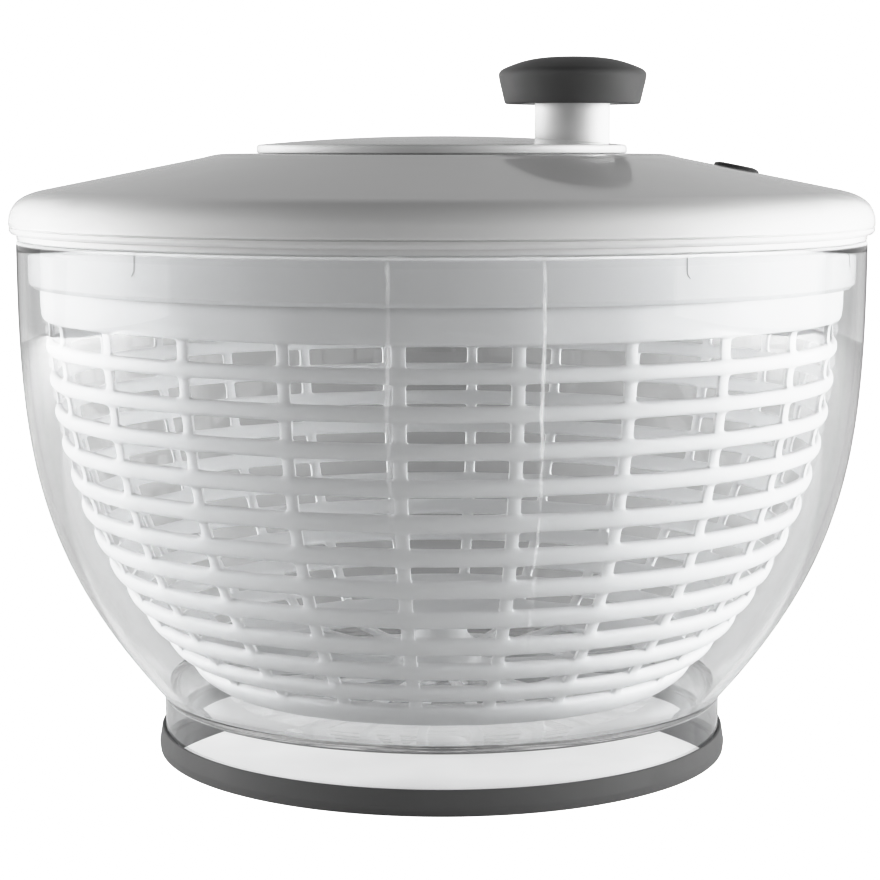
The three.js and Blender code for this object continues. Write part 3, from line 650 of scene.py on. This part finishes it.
basket_piece = piece("basket_body", basket, "basket", "basket", BASKET_WHITE, "basket", smooth=75)
smoother = basket_piece.modifiers.new("round", "SUBSURF")
smoother.levels = smoother.render_levels = 1
catches = bmesh.new()
for turn in around(6, RIB_PHASE + 180 / RIBS):
    box_mesh(2.6, 4.6, BASKET_TOP - 14, BASKET_TOP - 2, turn, BORE - 1.6, catches)
boolean(basket_piece, catches, "UNION")

# ---- Lid ----


def cone(r):
    return LID_TOP - 0.4 - (r - 68.5) * 0.2


def lid():
    hole = 48.9
    edge = LID - 9
    inside = 122.3
    out = 124.5
    bead = SEAT + 3.7
    points = [(hole, 175.2), (hole, LID_TOP - 0.5), (hole + 0.5, LID_TOP)]
    points += bulge((65.5, LID_TOP), (73, cone(73)), (0.4, 0.0), (0.75, 0.72), 12)
    points += bulge((edge - 1, cone(edge - 1)), (LID, bead + 0.9), (0.66, 0.14), (1.0, 0.42), 26)
    points += rounded(
        [
            (LID, bead + 0.5, 0),
            (LID - 0.15, bead + 0.25, 0.1),
            (LID - 0.75, bead, 0.1),
            (LID - 0.15, bead - 0.25, 0.1),
            (LID - 0.1, bead - 1.2, 0.6),
            (LID - 0.9, SEAT + 1.6, 0.7),
            (RIM - 0.1, SEAT + 1.6, 0.3),
            (RIM - 0.1, SEAT, 0.25),
            (out, SEAT, 0.3),
            (out, SKIRT_LOW + 1.2, 0.3),
            (out - 0.9, SKIRT_LOW, 0.3),
            (inside, SKIRT_LOW, 0.3),
            (inside, SEAT + 4, 3),
            (inside - 3, cone(edge) - 2.6, 4),
            (edge - 6, cone(edge - 6) - 2.2, 2),
            (69.5, cone(69.5) - 2.2, 2),
            (hole + 2.2, LID_TOP - 2.2, 0.6),
            (hole + 2.2, 175.2, 0),
        ]
    )
    return lathe(points, 256)


lid_piece = piece("lid_shell", lid, "lid", "lid_white", LID_WHITE, "lid_cover")
ribs = bmesh.new()
CRUSH_OUT, CRUSH_IN = 124.64, 123.6
for turn in around(10, -5):
    profile = [
        (-1, SEAT - 0.2),
        (-1, SEAT - 5.6),
        (0, SEAT - 7),
        (1, SEAT - 5.6),
        (1, SEAT - 0.2),
    ]
    outer_row, inner_row = [], []
    for across, z in profile:
        for row, r in ((outer_row, CRUSH_OUT), (inner_row, CRUSH_IN)):
            a = turn + across / r
            row.append(ribs.verts.new((r * math.cos(a) * MM, r * math.sin(a) * MM, z * MM)))
    ribs.faces.new(outer_row)
    ribs.faces.new(inner_row[::-1])
    for k in range(len(profile)):
        n = (k + 1) % len(profile)
        ribs.faces.new((outer_row[k], outer_row[n], inner_row[n], inner_row[k]))
boolean(lid_piece, ribs, "UNION")
bosses = bmesh.new()
for turn in PLATE_SCREWS:
    column(4.2, 172.9, 180.3, 32, bosses, turn, PLATE_SCREW_REACH)
guide_top = cone(BUTTON_X + BUTTON) - 1.7
lathe([(0, 163.9), (9.15, 163.9), (9.15, guide_top), (0, guide_top)], 48, bosses, BUTTON_X)
boolean(lid_piece, bosses, "UNION")
wells = bmesh.new()
lathe(
    [(0, 160), (2.8, 160), (2.8, 165.9), (7.25, 165.9), (7.25, 190), (0, 190)], 64, wells, BUTTON_X
)
for turn in PLATE_SCREWS:
    column(1.6, 172, 179.3, 24, wells, turn, PLATE_SCREW_REACH)
boolean(lid_piece, wells)

# ---- Crank and knob ----


def crank():
    rim = LID_TOP + 2.7
    crown = high("crank_disc") - 12.7
    inner_wall = 42.6
    points = [(0, rim - 1.5), (inner_wall, rim - 1.5), (inner_wall, GEAR_TOP + 0.7)]
    points += [(48, GEAR_TOP + 0.7), (48, LID_TOP + 0.2)]
    edge, edge_top = CRANK - 3, rim + 0.25
    points += rounded(
        [
            (48.2, LID_TOP + 0.2, 0),
            (CRANK, LID_TOP + 0.2, 0.5),
            (CRANK, rim, 1.1),
            (edge, edge_top, 0),
        ]
    )
    rise = crown - rim - 0.25
    points += [(r, edge_top + rise * (1 - (r / edge) ** 2)) for r in range(50, 0, -5)]
    points.append((0, crown))
    return lathe(points, 200)


crank_piece = piece("crank_dial", crank, "crank", "lid_white", LID_WHITE, "crank_disc")
post = bmesh.new()
POST_TOP = high("crank_disc")
lathe(
    rounded(
        [
            (0, 184, 0),
            (11.35, 184, 0),
            (11.35, POST_TOP, 0.6),
            (4.6, POST_TOP, 0),
            (4.6, POST_TOP - 7, 0),
            (0, POST_TOP - 7, 0),
        ]
    ),
    96,
    post,
    POST_X,
)
boolean(crank_piece, post, "UNION")
well = bmesh.new()
lathe(
    [
        (0, 175),
        (5.2, 175),
        (5.2, POST_TOP - 9.5),
        (3, POST_TOP - 9.5),
        (3, POST_TOP - 6),
        (0, POST_TOP - 6),
    ],
    48,
    well,
    POST_X,
)
for turn in DIAL_SCREWS:
    column(1.6, 178, 183.8, 24, well, turn, DIAL_SCREW_REACH)
boolean(crank_piece, well)


def knob():
    foot = 20.4
    core = 16.4
    points = rounded([(0, KNOB_TOP - 5.6, 0), (core, KNOB_TOP - 5.6, 0.5), (core, KNOB_LOW, 0.5)])
    flare = (KNOB - 0.25, KNOB_LOW + 7, 0)
    points += rounded([(foot - 1.5, KNOB_LOW, 0), (foot, KNOB_LOW, 1.0), flare])[1:]
    side = [
        (KNOB - 0.05, KNOB_LOW + 8.2),
        (KNOB, KNOB_LOW + 8.8),
        (KNOB - 0.15, KNOB_LOW + 9.4),
        (KNOB - 0.65, KNOB_LOW + 10.05),
        (KNOB - 1.5, KNOB_LOW + 10.6),
    ]
    points += side
    points += bulge(side[-1], (0, KNOB_TOP), (0.3, 0.76), (0.5, 1.0), 26)[1:]
    return lathe(points, 128, None, POST_X)


piece("knob_cap", knob, "knob", "grip", GRIP, "knob_grip")


def knob_core():
    low_z = low("knob_core")
    ceiling = POST_TOP + 0.6
    top = high("knob_core")
    return lathe(
        rounded(
            [
                (1.6, low_z, 0),
                (2.7, low_z, 0.3),
                (2.7, low_z + 2.8, 0),
                (4.3, low_z + 2.8, 0),
                (4.3, ceiling, 0.4),
                (11.95, ceiling, 0.3),
                (11.95, KNOB_LOW + 0.3, 0.3),
                (16.1, KNOB_LOW + 0.3, 0.3),
                (16.1, top, 0.6),
                (0, top, 0),
                (0, ceiling + 2, 0),
                (1.6, ceiling + 2, 0),
            ]
        ),
        64,
        None,
        POST_X,
    )


piece("knob_spindle", knob_core, "knob", "inner_white", INNER_WHITE, "knob_core")

# ---- Brake button ----


def button():
    """A cap whose domed top follows the lid's slope."""
    top = cone(BUTTON_X) + 1.2
    bottom = top - 8
    roof = cone(BUTTON_X + BUTTON) - 1.6
    made = lathe(
        rounded(
            [
                (0, 160.6, 0),
                (2.5, 160.6, 0.3),
                (2.5, roof, 0.4),
                (BUTTON - 1.3, roof, 0.4),
                (BUTTON - 1.3, bottom, 0.2),
                (BUTTON, bottom, 0.4),
                (BUTTON, top - 0.5, 1.0),
                (BUTTON - 1.6, top, 1.0),
                (0, top + 0.01, 0),
            ]
        ),
        72,
        None,
        BUTTON_X,
    )
    for v in made.verts:
        if v.co.z > (top - 2) * MM:
            share = min((v.co.z / MM - (top - 2)) / 1.2, 1)
            v.co.z -= (v.co.x / MM - BUTTON_X) * 0.2 * share * MM
    return made


piece("brake_cap", button, "brake", "dark_plastic", DARK, "brake_button")

# ---- Driver plate ----


def driver():
    bottom, ring_low, hub_top = 153.0, low("driver_plate"), high("driver_plate")
    return lathe(
        rounded(
            [
                (0, bottom, 0),
                (114.6, bottom, 0.8),
                (114.6, ring_low, 0.4),
                (117.1, ring_low, 0.6),
                (117.1, bottom, 0.5),
                (120.5, bottom, 0.5),
                (120.5, bottom + 2, 0.7),
                (16, bottom + 2, 1.5),
                (13, bottom + 5, 1.5),
                (13, hub_top, 0.6),
                (0, hub_top, 0),
            ]
        ),
        200,
    )


driver_piece = piece("driver_disc", driver, "driver", "inner_white", INNER_WHITE, "driver_plate")
notches = bmesh.new()
for turn in around(6, RIB_PHASE + 180 / RIBS):
    box_mesh(3.8, 6, 140, 151.5, turn, 116.6, notches)
boolean(driver_piece, notches)
socket = bmesh.new()
bmesh.ops.create_cone(
    socket,
    cap_ends=True,
    segments=6,
    radius1=5.5 * MM,
    radius2=5.5 * MM,
    depth=14 * MM,
    matrix=Matrix.Translation((0, 0, 158 * MM)) @ Matrix.Rotation(math.radians(30), 4, "Z"),
)
boolean(driver_piece, socket)

# ---- CAD nodes that keep their shape ----

KEPT = {
    "gear_plate": (INNER_WHITE, 0.25),
    "shaft_bushing": (ACETAL, 0.15),
    "ring_gear": (ACETAL, 0.2),
    "sun_pinion": (ACETAL, 0.2),
    "pivot_cap": (ACETAL, 0.3),
    "pivot_pin": (STEEL, 0.2),
    "brake_pad": (PAD, 0.2),
    "brake_clip": (STEEL, 0.08),
    "brake_spring": (STEEL, 0.0),
    "knob_washer": (STEEL, 0.08),
    "knob_screw": (STEEL, 0.1),
    "driver_washer": (STEEL, 0.1),
    "driver_screw": (STEEL, 0.1),
}
for k in (1, 2, 3):
    KEPT[f"idler_gear_{k}"] = (ACETAL, 0.2)
    KEPT[f"idler_pin_{k}"] = (STEEL, 0.15)
    KEPT[f"crank_screw_{k}"] = (STEEL, 0.1)
for k in (1, 2, 3, 4):
    KEPT[f"gear_plate_screw_{k}"] = (STEEL, 0.1)
for name, (material, edge) in KEPT.items():
    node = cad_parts[name]
    if node.material_slots:
        for held in node.material_slots:
            held.material = material
    else:
        node.data.materials.append(material)
    if edge:
        soft = node.modifiers.new("edges", "BEVEL")
        soft.width = edge * MM
        soft.segments = 2
        soft.limit_method = "ANGLE"
        soft.angle_limit = math.radians(40)
        soft.harden_normals = False

# ---- Floor ----


def stage_material():
    """White where the camera looks at it, and painted shade in greys where it is seen through the
    bowl.

    The greys follow the place on the floor, and fan out from the photograph's camera.
    """
    n = Nodes("floor")
    path = n.add("ShaderNodeLightPath")
    spot = n.add("ShaderNodeSeparateXYZ", {0: n.place})
    across = n.add("ShaderNodeMath", {0: spot.outputs[0]}, operation="ABSOLUTE").outputs[0]
    # Painted shade: these greys glow only for rays through the bowl, darker under the bowl's
    # middle and towards the front.
    near = n.range(spot.outputs[1], 0.68, 1.0, -0.08, -0.03)
    cloud = n.range(n.noise(22, 2), 0.88, 1.0)
    inside = n.range(across, 0.8, 0.94, 0.01, 0.07)
    for shade in (near, cloud):
        inside = n.add("ShaderNodeMath", {0: inside, 1: shade}, operation="MULTIPLY").outputs[0]
    depth = n.add(
        "ShaderNodeMath", {0: spot.outputs[1], 1: CAMERA_AWAY}, operation="ADD"
    ).outputs[0]
    slant = n.add("ShaderNodeMath", {0: across, 1: depth}, operation="DIVIDE").outputs[0]
    outside = n.range(slant, 0.17, 0.48, 0.01, 0.14)
    bend = n.add("ShaderNodeMath", {0: across, 1: -0.45}, operation="MULTIPLY").outputs[0]
    back = n.add("ShaderNodeMath", {0: spot.outputs[1], 1: bend}, operation="ADD").outputs[0]
    beyond = n.range(back, 0.0, 1.0, 0.015, 0.035)
    both = n.add(
        "ShaderNodeMix", {"Factor": beyond, 2: inside, 3: outside}, data_type="FLOAT"
    ).outputs[0]
    through = n.add(
        "ShaderNodeMath", {0: path.outputs["Is Transmission Ray"], 1: both}, operation="MULTIPLY"
    )
    seen = n.add(
        "ShaderNodeMath", {0: path.outputs["Is Camera Ray"], 1: FLOOR_GLOW}, operation="MULTIPLY"
    )
    glow = n.add("ShaderNodeMath", {0: through.outputs[0], 1: seen.outputs[0]}, operation="ADD")
    plain = n.add(
        "ShaderNodeMath", {0: 1.0, 1: path.outputs["Is Transmission Ray"]}, operation="SUBTRACT"
    )
    pale = n.tone(n.noise(3, 2), grey(0.76), grey(0.8))
    body = n.add("ShaderNodeBsdfPrincipled", {"Base Color": pale, "Roughness": 0.7})
    light = n.add("ShaderNodeEmission", {"Color": (1, 1, 1, 1), "Strength": glow.outputs[0]})
    # Rays through the bowl see this black floor, so only the painted shade shows there.
    dark = n.add("ShaderNodeBsdfDiffuse", {"Color": (0.02, 0.02, 0.02, 1)})
    kind = n.add(
        "ShaderNodeMixShader", {0: plain.outputs[0], 1: dark.outputs[0], 2: body.outputs[0]}
    )
    both = n.add("ShaderNodeAddShader", {0: kind.outputs[0], 1: light.outputs[0]})
    return n.finish(both.outputs[0])


FLOOR_GLOW = 1.9  # what the camera sees, on the scale of the view curve
ground = bmesh.new()
bmesh.ops.create_grid(ground, x_segments=8, y_segments=8, size=6.0)
floor_mesh = bpy.data.meshes.new("floor")
ground.to_mesh(floor_mesh)
ground.free()
floor_mesh.materials.append(stage_material())
floor = bpy.data.objects.new("floor", floor_mesh)
floor.location.z = -0.0002
bpy.context.scene.collection.objects.link(floor)

# ---- Light ----


def softbox(name, angle, reach, height, wide, tall, strength, shows=True, lights=True):
    """A lamp at an angle from the front, turned to the axis; strength is its brightness."""
    data = bpy.data.lights.new(name, "AREA")
    data.shape = "RECTANGLE"
    data.size, data.size_y = wide, tall
    data.energy = strength * math.pi * wide * tall
    lamp = bpy.data.objects.new(name, data)
    bpy.context.scene.collection.objects.link(lamp)
    a = math.radians(angle)
    lamp.location = (reach * math.sin(a), -reach * math.cos(a), height)
    aim = Vector((0, 0, 0.1)) - lamp.location
    aim.z = 0
    lamp.rotation_euler = aim.to_track_quat("-Z", "Y").to_euler()
    lamp.visible_camera = False
    lamp.visible_glossy = shows
    lamp.visible_transmission = shows
    lamp.visible_diffuse = lights
    return lamp


softbox("box_right", 92, 1.3, 0.15, 0.9, 0.45, 34, shows=False)
softbox("box_left", -106, 1.3, 0.15, 0.9, 0.45, 34, shows=False)
for wide in (1.5, 1.15, 0.8):
    softbox(f"card_right_{wide}", 88, 1.4, 0.2, wide, 0.6, 0.4, lights=False)
    softbox(f"card_left_{wide}", -100, 1.4, 0.2, wide, 0.6, 0.4, lights=False)
softbox("card_far_right", 138, 1.4, 0.1, 0.9, 1.4, 0.2, lights=False)
softbox("card_far_left", -138, 1.4, 0.1, 0.9, 1.4, 0.2, lights=False)


def studio_world():
    """A dim room with a dark ceiling, white to the camera, and painted shade in greys to rays
    through the bowl.
    """
    world = bpy.data.worlds.new("studio")
    world.use_nodes = True
    tree = world.node_tree
    tree.nodes.clear()
    link = tree.links.new

    def add(kind, **facts):
        node = tree.nodes.new(kind)
        for key, value in facts.items():
            setattr(node, key, value)
        return node

    def smooth(value, a, b, to_a, to_b):
        node = add("ShaderNodeMapRange", interpolation_type="SMOOTHSTEP")
        link(value, node.inputs["Value"])
        for key, number in (("From Min", a), ("From Max", b), ("To Min", to_a), ("To Max", to_b)):
            node.inputs[key].default_value = number
        return node.outputs["Result"]

    def maths(how, a, b):
        node = add("ShaderNodeMath", operation=how)
        for socket, value in zip(node.inputs, (a, b)):
            if isinstance(value, bpy.types.NodeSocket):
                link(value, socket)
            else:
                socket.default_value = value
        return node.outputs[0]

    split = add("ShaderNodeSeparateXYZ")
    link(add("ShaderNodeTexCoord").outputs["Generated"], split.inputs[0])
    side, depth, rise = split.outputs
    wall = smooth(depth, -0.1, 0.45, FRONT, BACK)
    raised, forward = smooth(rise, 0.15, 0.4, 0.0, 0.35), smooth(depth, -0.5, 0.0, 1.0, 0.0)
    high_front = maths("MULTIPLY", raised, forward)
    room = maths("MULTIPLY", maths("ADD", wall, high_front), smooth(rise, 0.5, 0.85, 1.0, TOP))
    # Painted shade: greys by direction, seen only by rays that passed through the bowl.
    right = smooth(side, 0.01, 0.16, 0.0, 0.42)
    left = smooth(side, -0.16, -0.01, 0.36, 0.0)
    far = smooth(maths("ABSOLUTE", side, 0.0), 0.16, 0.4, 0.0, 0.5)
    through = maths("ADD", maths("ADD", right, left), maths("ADD", far, BEHIND))
    path = add("ShaderNodeLightPath")
    camera, passed = path.outputs["Is Camera Ray"], path.outputs["Is Transmission Ray"]
    rest = maths("SUBTRACT", maths("SUBTRACT", 1.0, camera), passed)
    strength = maths("ADD", maths("MULTIPLY", room, rest), maths("MULTIPLY", camera, WHITE))
    strength = maths("ADD", strength, maths("MULTIPLY", through, passed))
    back = add("ShaderNodeBackground")
    link(strength, back.inputs["Strength"])
    back.inputs["Color"].default_value = (1, 1, 1, 1)
    out = add("ShaderNodeOutputWorld")
    link(back.outputs[0], out.inputs["Surface"])
    return world


# BEHIND is a painted grey seen only through the bowl.
FRONT, BACK, TOP, BEHIND, WHITE = 0.38, 0.5, 0.05, 0.14, 2.2
scene = bpy.context.scene
scene.world = studio_world()
scene.view_settings.view_transform = "Standard"
shoulder = scene.view_settings.curve_mapping
shoulder.white_level = (2, 2, 2)
shoulder.extend = "HORIZONTAL"
SHOULDER = (
    (0.15, 0.3),
    (0.3, 0.6),
    (0.38, 0.745),
    (0.45, 0.83),
    (0.52, 0.888),
    (0.6, 0.93),
    (0.8, 0.975),
)
for x, y in SHOULDER:
    shoulder.curves[3].points.new(x, y)
for point in shoulder.curves[3].points:
    point.handle_type = "VECTOR"
shoulder.update()
scene.view_settings.use_curve_mapping = True
scene.cycles.use_denoising = True
scene.cycles.transmission_bounces = 16
scene.cycles.glossy_bounces = 16
scene.cycles.transparent_max_bounces = 24
scene.cycles.max_bounces = 18

# ---- Camera ----

lens = bpy.data.cameras.new("camera")
lens.lens = 98.3
lens.sensor_width = 36
camera = bpy.data.objects.new("camera", lens)
scene.collection.objects.link(camera)
camera.location = (-0.00055, -CAMERA_AWAY, 0.185)
camera.rotation_euler = (math.radians(90 - 7.03), 0, 0)  # tilted 7.03 degrees down
scene.camera = camera
